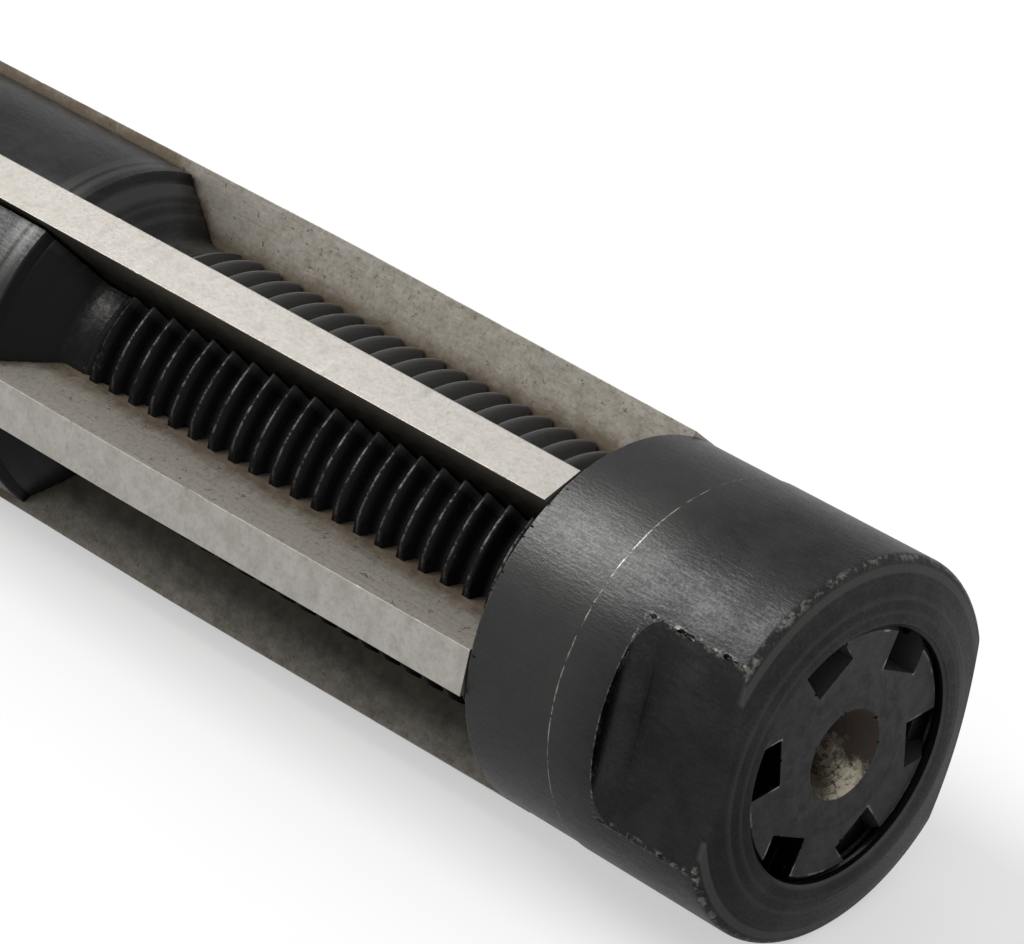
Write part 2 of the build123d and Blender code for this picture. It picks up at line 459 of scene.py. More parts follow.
def combine(base, others, operation):
    """Joins solids to a base, or cuts them from it, and drops them."""
    for other in others:
        modifier = base.modifiers.new(operation, "BOOLEAN")
        modifier.operation = operation
        modifier.solver = "MANIFOLD"
        modifier.material_mode = "TRANSFER"
        modifier.object = other
        flatten(base)
        bpy.data.objects.remove(other)
    if not base.data.polygons:
        raise RuntimeError(f"{base.name} came out empty")


def ring_points(x, radius, steps, closed=False):
    """Points of a circle round the axis, the first one again at the end of a closed one."""
    angles = [2 * pi * i / steps for i in range(steps + closed)]
    return [(x, radius * cos(a), radius * sin(a)) for a in angles]


def turned(name, outline, material, segments=192):
    """A solid turned from an outline of (x, radius) points in millimetres, from axis to axis."""
    made = bmesh.new()
    rings = []
    for x, radius in outline:
        if radius == 0:
            rings.append([made.verts.new((x * MM, 0, 0))])
        else:
            rings.append([made.verts.new(Vector(spot) * MM) for spot in ring_points(x, radius, segments)])
    for one, other in zip(rings, rings[1:]):
        for i in range(segments):
            after = (i + 1) % segments
            if len(one) == 1:
                made.faces.new((one[0], other[i], other[after]))
            elif len(other) == 1:
                made.faces.new((one[i], other[0], one[after]))
            else:
                made.faces.new((one[i], other[i], other[after], one[after]))
    return object_from(name, made, material)


def prism(name, outline, levels, material):
    """A solid over an outline of (x, y) points, with its sides split at z levels, in millimetres."""
    made = bmesh.new()
    rings = [[made.verts.new((x * MM, y * MM, z * MM)) for x, y in outline] for z in levels]
    for low, high in zip(rings, rings[1:]):
        for i in range(len(outline)):
            made.faces.new((low[i - 1], low[i], high[i], high[i - 1]))
    made.faces.new(rings[0])
    made.faces.new(rings[-1])
    return object_from(name, made, material)


def object_from(name, made, material):
    """An object with the mesh that was built, its faces outwards, in one material."""
    bmesh.ops.recalc_face_normals(made, faces=made.faces)
    mesh = bpy.data.meshes.new(name)
    made.to_mesh(mesh)
    made.free()
    mesh.materials.append(material)
    return mesh_object(name, mesh)


def edge_lines(name, lines):
    """A mesh of open lines through points in millimetres."""
    made = bmesh.new()
    for line in lines:
        points = [made.verts.new(Vector(point) * MM) for point in line]
        for first, second in zip(points, points[1:]):
            made.edges.new((first, second))
    mesh = bpy.data.meshes.new(name)
    made.to_mesh(mesh)
    made.free()
    return mesh


def nicks_along(lines, spacing, smallest, largest, seed, material):
    """A cutter that leaves nicks along the lines, with its sizes in millimetres."""
    return run_tree("nicks", shared_tree("nicks_along_edges", nicks_tree), {
        "Spacing": spacing * MM, "Smallest": smallest * MM, "Largest": largest * MM, "Seed": seed,
        "Material": material}, edge_lines("nick_lines", lines))


def turn_about_axis(holder, degrees):
    holder.data.transform(Matrix.Rotation(radians(degrees), 4, "X"))
    return holder


def finish_piece(piece, body, smooth_angle, flats=()):
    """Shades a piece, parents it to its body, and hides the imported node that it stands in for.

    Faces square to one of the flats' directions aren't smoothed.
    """
    piece.data.shade_smooth()
    piece.data.set_sharp_from_angle(angle=radians(smooth_angle))
    for face in piece.data.polygons:
        face.use_smooth = all(abs(face.normal.dot(way)) < 0.9999 for way in flats)
    # Large faces keep their own direction, so a flat looks flat up to its nicks
    weighted = piece.modifiers.new("Weighted normals", "WEIGHTED_NORMAL")
    weighted.keep_sharp = True
    flatten(piece)
    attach(piece, body)
    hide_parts(body)


def arc(centre, radius, first, last, steps):
    """Points of a round corner, between two angles in degrees."""
    angles = [radians(first + (last - first) * i / steps) for i in range(steps + 1)]
    return [(centre[0] + radius * cos(a), centre[1] + radius * sin(a)) for a in angles]


def new_material(name):
    """A material with an empty node tree, and what adds a node to it."""
    material = bpy.data.materials.new(name)
    material.use_nodes = True
    material.node_tree.nodes.clear()
    return material, partial(add_node, material.node_tree)


def axis_places(add):
    """Where the surface is, in millimetres: its place, x, radius and angle round the axis.

    A noise on the place with a scale of 4 thus has spots about 1/4 mm across.
    """
    place = add(SCALED, add("ShaderNodeTexCoord").outputs["Object"], 1 / MM)
    x, y, z = add("ShaderNodeSeparateXYZ", place).outputs
    radius = add(VECTOR_MATH, add(COMBINE, 0.0, y, z), operation="LENGTH")
    angle = add(MATH, z, y, operation="ARCTAN2")
    return place, x, radius, angle


def angle_from_shade_side(add, angle):
    """How far round, in radians, a place is from the middle of the side at 181 degrees, which gets painted
    shade.
    """
    around = add(WRAPPED, angle, 2 * pi)
    return add(UNSIGNED, add(MINUS, around, radians(181)))


def line_mask(add, value, middle, width):
    """1 where a value in millimetres is at a line, falling to 0 one width away."""
    away = add(UNSIGNED, add(MINUS, value, middle))
    return add(RANGE, away, 0.4 * width, width, 1.0, 0.0)


def oxide_skin(add, place, finishes):
    """Colour, roughness and relief of black oxide over machined steel.

    It is a dark skin of uneven depth, with a thin film of oil. Soft clouds of about 2 mm,
    fine scratches along the axis and a grain break up its gloss. The real
    scratches and grain are under 0.05 mm wide: they are drawn at about 0.12 mm,
    so that they show.
    """
    clouds = add(NOISE, place, 0.45, 3.0, 0.6)
    drawn = add(MAPPING, place, named={"Scale": (0.14, 1.0, 1.0)})
    scratches = add(NOISE, drawn, 9.0, 2.0, 0.7)
    grain = add(NOISE, place, 8.0, 2.0, 0.6)
    relief = add(BLEND, 0.5, scratches, grain)
    thin = add(RANGE, add(PLUS, clouds, relief), 0.85, 1.2)
    tone = add(TINT, thin, finishes.oxide_dark, finishes.oxide_light)
    roughness = add(RANGE, relief, 0.35, 0.65, 0.45, 0.32)
    return tone, roughness, relief


def close_metal(add, tone, roughness, relief, metallic=1.0, **others):
    """Ends a metal's tree in its shader, with a relief 0.03 mm deep."""
    bump = add("ShaderNodeBump", named={"Strength": 0.6, "Distance": 0.03 * MM, "Height": relief})
    shader = add("ShaderNodeBsdfPrincipled", named={
        "Base Color": tone, "Roughness": roughness, "Metallic": metallic, "Normal": bump, **others})
    add("ShaderNodeOutputMaterial", shader)


def nut_finish(node, face, way, context):
    """Black oxide on a turned nut.

    The skin is dark and satin. Where an edge has rubbed, the steel shows
    through as a thin broken line. The flats have milling marks across them,
    about 0.3 mm apart, and the face has turned rings some 0.5 mm apart, both
    drawn coarser than the tools' real feed of 0.1 mm, so that they show.
    """
    finishes = context.scene.reamer_finishes
    sizes = context.scene.reamer_nuts
    outer, flat, reach = sizes.radius / MM, sizes.flat_half / MM, sizes.flat_length / MM
    material, add = new_material("black_oxide_" + node)
    place, x, radius, angle = axis_places(add)
    depth = add(TIMES, add(MINUS, face, x), float(way))
    lean = add(MINUS, angle, radians(FLAT_ANGLES[node]))
    across = add(UNSIGNED, add(TIMES, radius, add(MATH, lean, operation="COSINE")))
    before = add(RANGE, depth, reach + 0.1, reach)

    # Painted shade darkens the side round 181 degrees, and a painted highlight lightens the oxide towards the
    # collar
    tone, roughness, relief = oxide_skin(add, place, finishes)
    painted_side_shade = add(RANGE, angle_from_shade_side(add, angle), radians(50), radians(22), 0.0, 0.5)
    tone = add(TINT, painted_side_shade, tone, finishes.painted_shade_oxide)
    # Painted highlight: the oxide is lightened towards the collar
    collar_highlight = add(RANGE, depth, COLLAR_PLACE - 3.0, COLLAR_PLACE, 0.0, 0.4)
    tone = add(TINT, collar_highlight, tone, finishes.ring_and_highlight_oxide)

    milled = add(MAPPING, place, named={"Scale": (1.0, 0.12, 0.12)})
    marks = add(NOISE, milled, 3.2, 3.0, 0.65)
    on_flat = add(TIMES, line_mask(add, across, flat, 0.05), before)
    relief = add(BLEND, on_flat, relief, marks)
    rings = add(RINGS, radius, 1.8, 3.0)
    on_face = add(RANGE, depth, 0.7, 0.5)
    relief = add(BLEND, add(TIMES, on_face, 0.6), relief, rings)
    ringed = add(TIMES, add(RANGE, rings, 0.5, 0.66, 0.0, 0.6), on_face)
    tone = add(TINT, ringed, tone, finishes.ring_and_highlight_oxide)

    # Rubbed edges: the collar's is worn most, the others only in places
    flecks = add(NOISE, place, 2.4, 3.0, 0.75)
    often = add(RANGE, flecks, 0.43, 0.6, 0.0, 0.75)
    seldom = add(RANGE, flecks, 0.5, 0.7, 0.0, 0.4)
    collar = add(TIMES, line_mask(add, depth, COLLAR_PLACE, 0.06), often)
    beyond = add(RANGE, across, flat, flat + 0.04)
    flat_end = add(TIMES, line_mask(add, depth, reach, 0.07), beyond)
    flat_side = add(TIMES, line_mask(add, across, flat, 0.1), before)
    flat_side = add(TIMES, flat_side, add(RANGE, radius, outer - 0.12, outer - 0.05))
    front_rim = line_mask(add, depth, 0.6, 0.16)
    back_rim = line_mask(add, depth, NUT_LENGTH, 0.12)
    edges = flat_end
    for edge in (flat_side, front_rim, back_rim):
        edges = add(LARGER, edges, edge)
    rubbed = add(LARGER, add(TIMES, edges, seldom), collar)
    rubbed = add(TIMES, rubbed, add(RANGE, radius, outer - 0.3, outer - 0.2))
    tone = add(TINT, rubbed, tone, finishes.bared)
    close_metal(add, tone, roughness, relief, **{"Specular Tint": finishes.oxide_sheen})
    return material


def slot_edges(add, radius, angle):
    """1 along the edges of the slots where they break the body's front face.

    A slot lies set back from its blade's angle, so its share of the circle
    runs from 45 degrees before that angle to 15 degrees after it.
    """
    shifted = add(PLUS, angle, radians(45 - FIRST_BLADE_ANGLE))
    sector = add(WRAPPED, shifted, 2 * pi / BLADE_COUNT)
    folded = add(MINUS, sector, radians(45))
    outward, sideways = (
        add(TIMES, radius, add(MATH, folded, operation=way)) for way in ("COSINE", "SINE"))
    off = add(UNSIGNED, add(PLUS, sideways, SLOT_SETBACK))
    return add(TIMES, line_mask(add, off, SLOT_WIDTH / 2, 0.09),
               add(RANGE, outward, SLOT_FLOOR - 0.1, SLOT_FLOOR))


def body_finish(context):
    """Black oxide on the turned and slotted body.

    On the side from about 119 to 243 degrees the threads are darkened as painted
    shade, and elsewhere lightened and made less metallic as painted light. On that
    shaded side a thin bright line runs where the nut has rubbed their crests,
    weighted by angle as a painted highlight, and there is some rust. Tool marks
    about 0.6 mm apart ring the shoulders, which painted shade darkens towards the
    necks, and burrs shine along some of the slots' edges at the front, whose face
    has fine turned rings of about 0.25 mm, drawn coarser than they are.
    """
    finishes = context.scene.reamer_finishes
    material, add = new_material("black_oxide_body")
    place, x, radius, angle = axis_places(add)
    tone, roughness, relief = oxide_skin(add, place, finishes)
    middle = (FRONT_THREAD_END + REAR_THREAD_START) / 2
    half = (FRONT_THREAD_END - REAR_THREAD_START) / 2
    away = add(UNSIGNED, add(MINUS, x, middle))
    before_shank = add(RANGE, x, REAR_THREAD_END, REAR_THREAD_END + 0.1)
    threaded = add(TIMES, add(RANGE, away, half, half + 0.1), before_shank)

    # Painted shade on the threads of the side from about 119 to 243 degrees
    off_middle = angle_from_shade_side(add, angle)
    shade_side_mask = add(RANGE, off_middle, radians(66), radians(58))
    painted_side_shade = add(TIMES, threaded, shade_side_mask)
    tone = add(TINT, painted_side_shade, tone, finishes.painted_shade_oxide)
    roughness = add(TIMES_PLUS, threaded, 0.08, roughness)
    # Elsewhere round the axis the threads are lightened and made less metallic, as painted light
    painted_light_threads = add(TIMES, threaded, add(MINUS, 1.0, shade_side_mask))
    painted_light_threads = add(TIMES, painted_light_threads, add(RANGE, x, -0.04, -0.1))
    tone = add(TINT, painted_light_threads, tone, finishes.face_oxide_and_painted_light)

    # Across the ridge, 0 is its crest and 0.5 the valley
    pitch = context.scene.reamer_thread.pitch / MM
    climbed = add(OVER, add(MINUS, x, CREST_PLACE), pitch)
    turns = add(TIMES_PLUS, angle, -1 / (2 * pi), climbed)
    ridge = add(MATH, turns, 0.5, operation="PINGPONG")
    along_crest = add(NOISE, place, 2.2, 3.0, 0.8)
    worn = add(RANGE, along_crest, 0.44, 0.6, 0.0, 0.22)
    crest = add(TIMES, add(RANGE, ridge, 0.055, 0.042), worn)
    # The worn crest line shows only on the shaded side, and is weighted by angle as a painted highlight,
    # weakest at that side's middle
    crest = add(TIMES, crest, painted_side_shade)
    to_light = add(RANGE, off_middle, radians(22), radians(45), 0.3, 1.0)
    crest = add(TIMES, crest, to_light)
    tone = add(TINT, crest, tone, finishes.bared)
    roughness = add(BLEND, crest, roughness, 0.6)

    # Tool marks on the shoulders, and painted shade that darkens the shoulders towards the necks
    shoulder = line_mask(add, away, half - 3.4, 2.6)
    rings = add(RINGS, x, 1.6, 1.0)
    ringed = add(TIMES, add(RANGE, rings, 0.44, 0.6, 0.0, 0.9), shoulder)
    tone = add(TINT, ringed, tone, finishes.ring_and_highlight_oxide)
    # Painted shade below the plain radius, deepest on the shaded side
    below_plain = add(RANGE, radius, PLAIN_RADIUS - 0.03, PLAIN_RADIUS - 0.15)
    under = add(TIMES, below_plain, add(RANGE, away, half - 6.5, half - 5.0))
    under = add(TIMES, under, add(RANGE, threaded, 1.0, 0.0))
    shaded = add(TIMES, under, add(RANGE, shade_side_mask, 0.0, 1.0, 0.45, 1.0))
    tone = add(TINT, shaded, tone, finishes.painted_shade_oxide)
    relief = add(BLEND, add(TIMES, shoulder, 0.7), relief, rings)

    # Flaky patches of about 0.6 mm in the necks
    neck = add(TIMES, line_mask(add, away, half - 0.8, 1.2), add(RANGE, radius, 5.9, 5.75))
    flakes = add(NOISE, place, 1.7, 3.0, 0.8)
    patch = add(RANGE, off_middle, radians(38), radians(50), 0.1, 0.45)
    scaly = add(TIMES, add(RANGE, flakes, 0.42, 0.68), neck)
    scaly = add(TIMES, scaly, patch)
    tone = add(TINT, scaly, tone, finishes.scale)

    # The front face is thinly blackened, dirty in blots, with burrs on its edges
    at_front = add(RANGE, x, -0.1, -0.04)
    tone = add(TINT, at_front, tone, finishes.face_oxide_and_painted_light)
    dirty = add(RANGE, add(NOISE, place, 1.6, 4.0, 0.7), 0.42, 0.62, 0.0, 0.6)
    tone = add(TINT, add(TIMES, dirty, at_front), tone, finishes.oxide_dark)
    edges = add(LARGER, slot_edges(add, radius, angle), line_mask(add, radius, 5.05, 0.08))
    burred = add(RANGE, add(NOISE, place, 0.9, 2.0, 0.6), 0.52, 0.66, 0.0, 0.6)
    burr = add(TIMES, add(TIMES, edges, at_front), burred)
    tone = add(TINT, burr, tone, finishes.bared)
    turned_face = add(RINGS, radius, 4.0, 2.0)
    relief = add(BLEND, add(TIMES, at_front, 0.6), relief, turned_face)

    # Rust in spots of about a millimetre in the threads
    spots = add(RANGE, add(NOISE, place, 0.9, 4.0, 0.75), 0.64, 0.72, 0.0, 0.6)
    rust = add(TIMES, spots, add(RANGE, away, half - 1.0, half))
    tone = add(TINT, rust, tone, finishes.rust)
    roughness = add(BLEND, rust, roughness, 0.85)
    dull = add(LARGER, add(TIMES, painted_light_threads, 0.7), rust)
    metallic = add(MINUS, 1.0, dull)
    close_metal(add, tone, roughness, relief, metallic, **{"Specular Tint": finishes.oxide_sheen})
    return material


def hole_finish(context):
    """Bare drilled steel with drill marks round it, darkened on its upper side as brown rust and painted
    shade.

    The marks are about 0.17 mm apart, coarser than a drill's real ones of 0.05 mm.
    """
    finishes = context.scene.reamer_finishes
    material, add = new_material("centre_hole_steel")
    place, _, radius, _ = axis_places(add)
    rings = add(RINGS, radius, 6.0, 3.0)
    blots = add(NOISE, place, 1.4, 4.0, 0.75)
    # Rust and painted shade darken the upper side of the hole
    height = add(DOT, place, (0.0, 0.25, 0.2))
    rust_and_shade = add(RANGE, add(PLUS, height, blots), 0.4, 0.66)
    tone = add(TINT, rust_and_shade, finishes.hole_steel, finishes.hole_rust_and_shade)
    dirt = add(RANGE, add(NOISE, place, 3.5, 4.0, 0.7), 0.5, 0.66)
    tone = add(TINT, dirt, tone, finishes.oxide_dark)
    roughness = add(RANGE, rust_and_shade, 0.0, 1.0, 0.32, 0.75)
    metallic = add(RANGE, rust_and_shade, 0.0, 1.0, 1.0, 0.3)
    close_metal(add, tone, roughness, rings, metallic)
    return material


def blade_finish(context):
    """Hardened tool steel, ground on the land and rougher on the sides.

    The ground land is pale and satin, with faint grey clouds of 0.8 mm and
    specks of 0.2 mm. The sides are duller, with scratches along the blade, dark
    pits of 0.4 mm, and a brown stain where oil has crept up from the threads.
    The scratches are drawn 0.15 mm wide, coarser than a grinding wheel's grit
    leaves them, so that they show.
    """
    finishes = context.scene.reamer_finishes
    material, add = new_material("ground_tool_steel")
    place, x, radius, _ = axis_places(add)
    normal = add("ShaderNodeTexCoord").outputs["Normal"]
    outward = add(VECTOR_MATH, place, (0.0, 1.0, 1.0), operation="MULTIPLY")
    outward = add(VECTOR_MATH, outward, operation="NORMALIZE")
    land = add(RANGE, add(DOT, normal, outward), 0.88, 0.93)

    clouds = add(NOISE, place, 1.3, 4.0, 0.7)
    specks = add(NOISE, place, 5.0, 2.0, 0.65)
    land_tone = add(TINT, add(RANGE, clouds, 0.4, 0.66), finishes.land_light, finishes.land_dark)
    land_tone = add(TINT, add(RANGE, specks, 0.5, 0.75, 0.0, 0.5), land_tone, finishes.side_dark)

    drawn = add(MAPPING, place, named={"Scale": (0.7, 1.0, 1.0)})
    streaks = add(NOISE, drawn, 1.7, 6.0, 0.8)
    fine = add(MAPPING, place, named={"Scale": (0.06, 1.0, 1.0)})
    drags = add(NOISE, fine, 6.5, 2.0, 0.7)
    pits = add(RANGE, add(NOISE, place, 2.6, 3.0, 0.75), 0.62, 0.7, 0.0, 0.7)
    # How far the place is outside the body, whose radius grows along the shoulder
    body_radius = add(RANGE, x, FRONT_THREAD_END - 5.0, FRONT_THREAD_END - 1.5, PLAIN_RADIUS, 5.75)
    creep = add(RANGE, add(MINUS, radius, body_radius), 1.5, 0.0)
    blots = add(NOISE, place, 1.0, 4.0, 0.75)
    stained = add(RANGE, add(PLUS, creep, blots), 0.85, 1.35, 0.0, 0.85)
    # Painted shade on the faces that look down and on the lower blades, deepest near the body
    down = add(RANGE, add(DOT, normal, (0.0, 0.0, -1.0)), 0.2, 0.45)
    low = add(RANGE, add(DOT, place, (0.0, 0.0, -1.0)), 0.5, 2.5)
    painted_underside_shade = add(LARGER, down, low)
    painted_underside_shade = add(TIMES, painted_underside_shade, add(RANGE, radius, 6.5, 8.4, 1.0, 0.66))
    painted_underside_shade = add(TIMES, painted_underside_shade, add(RANGE, clouds, 0.3, 0.7, 1.0, 0.92))
    side_tone = finishes.side_light
    for share, dirt in (
            (add(RANGE, streaks, 0.35, 0.68), finishes.side_dark),
            (add(RANGE, drags, 0.58, 0.74, 0.0, 0.2), finishes.pit),
            (add(RANGE, drags, 0.4, 0.24, 0.0, 0.15), finishes.bared),
            (add(RANGE, specks, 0.5, 0.72, 0.0, 0.4), finishes.stain),
            (stained, finishes.stain), (pits, finishes.pit), (painted_underside_shade, finishes.underside_shade_tone)):
        side_tone = add(TINT, share, side_tone, dirt)

    tone = add(TINT, land, side_tone, land_tone)
    land_rough = add(RANGE, clouds, 0.35, 0.65, 0.36, 0.46)
    side_rough = add(RANGE, streaks, 0.35, 0.65, 0.42, 0.58)
    roughness = add(BLEND, land, side_rough, land_rough)
    side_relief = add(TIMES_PLUS, pits, -0.4, add(TIMES, drags, 0.25))
    relief = add(BLEND, land, side_relief, add(TIMES, specks, 0.3))
    close_metal(add, tone, roughness, relief)
    return material


def thread_values(sizes, start, end, start_radius, end_radius, end_slope, material):
    """What the thread's tree takes, from places and end radii in millimetres."""
    return {
        "Start": start * MM, "End": end * MM, "Pitch": sizes.pitch, "Core Radius": sizes.root,
        "Crest Radius": sizes.crest, "Crest Place": CREST_PLACE * MM,
        "Start Radius": start_radius * MM, "End Radius": end_radius * MM,
        "Start Slope": 1.0, "End Slope": end_slope, "Segments": sizes.segments, "Material": material}


def body_blank(sizes, black):
    """The body before it is slotted: plain middle, two threads, shank and a boss in the front face.

    The threads lap into the necks. The front one starts as a circle just
    behind the front face, and dies out slowly at the neck.
    """
    lap = 0.02
    front_radius, run_out = 5.08, 0.45
    at_neck, at_shank = NECK_RADIUS - 0.005, SHANK_RADIUS - 0.005
    shoulder_length, ease_length, ease_drop = 2.5, 3.0, 0.2
    rear_neck = REAR_THREAD_START + NECK_LENGTH
    rear_edge = rear_neck + shoulder_length
    body = turned("threaded_body", [
        (FRONT_THREAD_END, 0), (FRONT_THREAD_END, NECK_RADIUS),
        *[(FRONT_THREAD_END - behind, radius) for behind, radius in SHOULDER],
        (rear_edge + ease_length, PLAIN_RADIUS), (rear_edge, PLAIN_RADIUS - ease_drop),
        (rear_neck, NECK_RADIUS), (REAR_THREAD_START, NECK_RADIUS), (REAR_THREAD_START, 0)], black)
    tree = shared_tree("helical_thread", thread_tree)
    front = run_tree("front_thread", tree, thread_values(
        sizes, -0.05, FRONT_THREAD_END - lap, front_radius, at_neck, run_out, black))
    rear = run_tree("rear_thread", tree, thread_values(
        sizes, REAR_THREAD_START + lap, REAR_THREAD_END, at_neck, at_shank, 1.0, black))
    shank = turned("shank", [
        (REAR_THREAD_END + 0.05, 0), (REAR_THREAD_END + 0.05, SHANK_RADIUS - 0.01),
        (REAR_THREAD_END, SHANK_RADIUS), (BODY_REAR + END_CHAMFER, SHANK_RADIUS),
        (BODY_REAR, SHANK_RADIUS - END_CHAMFER), (BODY_REAR, 0)], black)
    # The boss lies just inside the slots' floors, its edge eased
    boss = turned("front_boss", [(0, 0), (0, 3.05), (-0.07, 3.42), (-0.6, 3.42), (-0.6, 0)], black)
    combine(body, [front, rear, shank, boss], "UNION")
    return body


def slot_cutters(black):
    """Cutters for the six slots, and for the ridges' ends, worn down where they meet the blades' backs."""
    half = SLOT_WIDTH / 2
    floors = [(x, SLOT_FLOOR - SLOT_SLOPE * x) for x in (SPARE, REAR_RIM)]
    slot = prism("slot", [*floors, (REAR_RIM, FAR), (SPARE, FAR)],
                 (-SLOT_SETBACK - half, -SLOT_SETBACK + half), black)
    # A plane that leans by 11.75 degrees takes off the ridges' corners
    lean, height, end = -11.75, 5.657, FRONT_THREAD_END
    worn = prism("worn_edge", [(SPARE, height), (end, height), (end, FAR), (SPARE, FAR)], (-2.2, -1.0), black)
    turn_about_axis(worn, lean)
    tree = shared_tree("round_the_axis", around_tree)
    cuts = []
    for source in (slot, worn):
        cuts.append(run_tree("slots", tree, {
            "Count": BLADE_COUNT, "First Angle": radians(FIRST_BLADE_ANGLE), "Material": black}, source.data))
        bpy.data.objects.remove(source)
    return cuts


def end_cutters(black, bright):
    """Cutters for the four sides of the square and for the centre holes in both ends."""
    wide = 12.0
    low, high = BODY_REAR - SPARE, BODY_REAR + SQUARE_LENGTH
    side = [(low, SQUARE_HALF), (high, SQUARE_HALF), (high, wide), (low, wide)]
    cuts = [turn_about_axis(prism("side", side, (-wide, wide), black), 90 * turn) for turn in range(4)]
    cone = (HOLE_MOUTH - HOLE_PILOT) / tan(radians(30))
    for place, way in ((0.0, 1), (BODY_REAR, -1)):
        hole = [
            (SPARE, 0), (SPARE, HOLE_MOUTH), (0, HOLE_MOUTH), (-cone, HOLE_PILOT), (-HOLE_DEPTH, HOLE_PILOT),
            (-HOLE_DEPTH - 0.46, 0)]
        cuts.append(turned("centre_hole", [(place + way * x, r) for x, r in hole], bright, 64))
    return cuts


def front_dents(black):
    """Dents where the slots and the centre hole break the front face."""
    lines = [ring_points(0, HOLE_MOUTH, 40, closed=True)]
    near, far = -SLOT_SETBACK - SLOT_WIDTH / 2, -SLOT_SETBACK + SLOT_WIDTH / 2
    corners = [(0, 5.0, near), (0, SLOT_FLOOR, near), (0, SLOT_FLOOR, far), (0, 5.1, far)]
    for number in range(BLADE_COUNT):
        turn = Matrix.Rotation(radians(FIRST_BLADE_ANGLE + number * 360 / BLADE_COUNT), 3, "X")
        lines.append([turn @ Vector(corner) for corner in corners])
    return nicks_along(lines, 0.3, 0.02, 0.16, 3, black)


class REAMER_OT_body(bpy.types.Operator):
    """Make the body: shank, threads, plain middle and slots in one piece"""

    bl_idname = "reamer.body"
    bl_label = "Body"

    def execute(self, context):
        black = body_finish(context)
        bright = hole_finish(context)
        body = body_blank(context.scene.reamer_thread, black)
        cuts = [*slot_cutters(black), *end_cutters(black, bright), front_dents(black)]
        combine(body, cuts, "DIFFERENCE")
        finish_piece(body, "reamer_body", 44, [Vector((1, 0, 0))])
        return {"FINISHED"}


def nut_outline(outer, low):
    """Outline of a solid nut, with its face at x = 0 and its dished seat at the back.

    The face slopes back by 15 degrees to a rounded rim, and the collar is a
    small step down to the low radius.
    """
    back, collar, rim = -NUT_LENGTH, -COLLAR_PLACE, 0.35
    return [
        (0, 0), (0, BORE_RADIUS + FACE_RING), (-0.02, BORE_RADIUS + FACE_RING + 0.07),
        *arc((-0.798, outer - rim), rim, 15.2, 90, 7), *[(-1.2 - CELL * i, outer) for i in range(13)],
        (collar + 0.02, outer), (collar, outer - 0.02), (collar - 0.02, low),
        *arc((back + 0.1, low - 0.1), 0.1, 90, 180, 4), (back, low - 0.4),
        (back + DISH_DEPTH, BORE_RADIUS), (back + DISH_DEPTH, 0)]


def nut_cutters(node, face, way, sizes, thread, black):
    """Cutters for a nut's two flats, its bore and its thread."""
    outer, flat = sizes.radius / MM, sizes.flat_half / MM
    reach, corner = sizes.flat_length / MM, sizes.flat_corner / MM
    inner = [
        *[(SPARE - CELL * i, flat) for i in range(15)],
        *arc((-reach + corner, flat + corner), corner, 270, 180, 14), (-reach, FAR), (SPARE, FAR)]
    side = sqrt(outer ** 2 - flat ** 2)
    levels = (-FAR, -side - CELL, -side + CELL, side - CELL, side + CELL, FAR)
    cuts = []
    for turn in (0, 180):
        cutter = prism("flat", [(face + way * x, y) for x, y in inner], levels, black)
        cuts.append(turn_about_axis(cutter, FLAT_ANGLES[node] + turn))

    # The bore is eased at the face, and the groove starts a little inside it
    back = -NUT_LENGTH
    small, wide = BORE_RADIUS - 0.006, BORE_RADIUS + 0.14
    bore = [
        (SPARE, 0), (SPARE, wide), (0, wide), (small - wide, small), (back - SPARE, small), (back - SPARE, 0)]
    cuts.append(turned("bore", [(face + way * x, r) for x, r in bore], black, thread.segments))
    inside, overrun = 0.35, 0.3
    high, low = sorted((face - way * inside, face + way * (back - overrun)), reverse=True)
    values = thread_values(thread, high, low, BORE_RADIUS, BORE_RADIUS, 1.0, black)
    values["Core Radius"] = BORE_RADIUS * MM
    values["Crest Radius"] = thread.nut_root
    cuts.append(run_tree("nut_thread", shared_tree("helical_thread", thread_tree), values))
    return cuts


def nut_nicks(node, face, way, sizes, seed, black):
    """Nicks along the flats' long edges and round both rims, and a notch where a wrench slipped."""
    outer, flat, reach = sizes.radius / MM, sizes.flat_half / MM, sizes.flat_length / MM
    low = outer - sizes.collar_step / MM
    half_angle = atan2(sqrt(outer ** 2 - flat ** 2), flat)
    long_edges = []
    for turn in (0, 180):
        for way_round in (-1, 1):
            lean = radians(FLAT_ANGLES[node] + turn) + way_round * half_angle
            places = [face - way * reach * i / 8 for i in range(1, 9)]
            long_edges.append([(x, outer * cos(lean), outer * sin(lean)) for x in places])
    rims = [
        ring_points(face - way * behind, radius, 90, closed=True)
        for behind, radius in ((0.68, outer), (NUT_LENGTH - 0.03, low))]
    lean = radians(FLAT_ANGLES[node]) - half_angle
    notch = [(face - way * x, outer * cos(lean), outer * sin(lean)) for x in (3.45, 4.0)]
    return [
        nicks_along(lines, spacing, smallest, largest, seed, black)
        for lines, spacing, smallest, largest in (
            (long_edges, 0.28, 0.04, 0.2), (rims, 0.5, 0.02, 0.1), ([notch], 0.2, 0.14, 0.22))]


